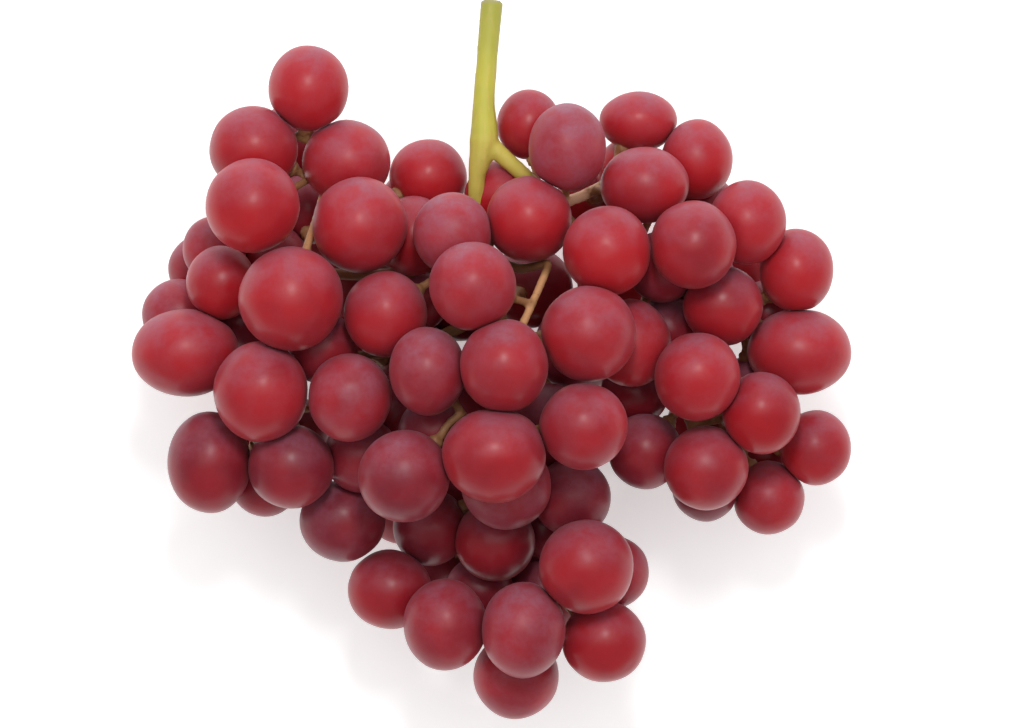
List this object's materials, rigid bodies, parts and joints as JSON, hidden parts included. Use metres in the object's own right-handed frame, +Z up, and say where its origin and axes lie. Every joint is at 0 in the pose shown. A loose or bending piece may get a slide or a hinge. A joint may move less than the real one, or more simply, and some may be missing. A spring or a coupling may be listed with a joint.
{
  "type": "bunch of red grapes",
  "caption": "Bunch of round red grapes lying on its back: wide-shouldered, tapering to a short tail, on a branching green stem with a bare, straight, cut end.",
  "frame": {"origin": "on the table under the middle of the bunch's length and width", "axes": "+Y towards the cut end of the stem, +X to the right seen from above, +Z up, away from the table"},
  "size_m": [0.1596, 0.1599, 0.0845],
  "materials": {
    "stem": "satin",
    "grape_skin": "satin"
  },
  "bodies": {
    "root": {"stem": "stem", "grapes_middle": "grape_skin", "grapes_tail": "grape_skin", "grapes_right_top": "grape_skin", "grapes_right_side": "grape_skin", "grapes_right_low": "grape_skin", "grapes_left_top": "grape_skin", "grapes_left_side": "grape_skin", "grapes_left_low": "grape_skin"}
  },
  "joints": []
}
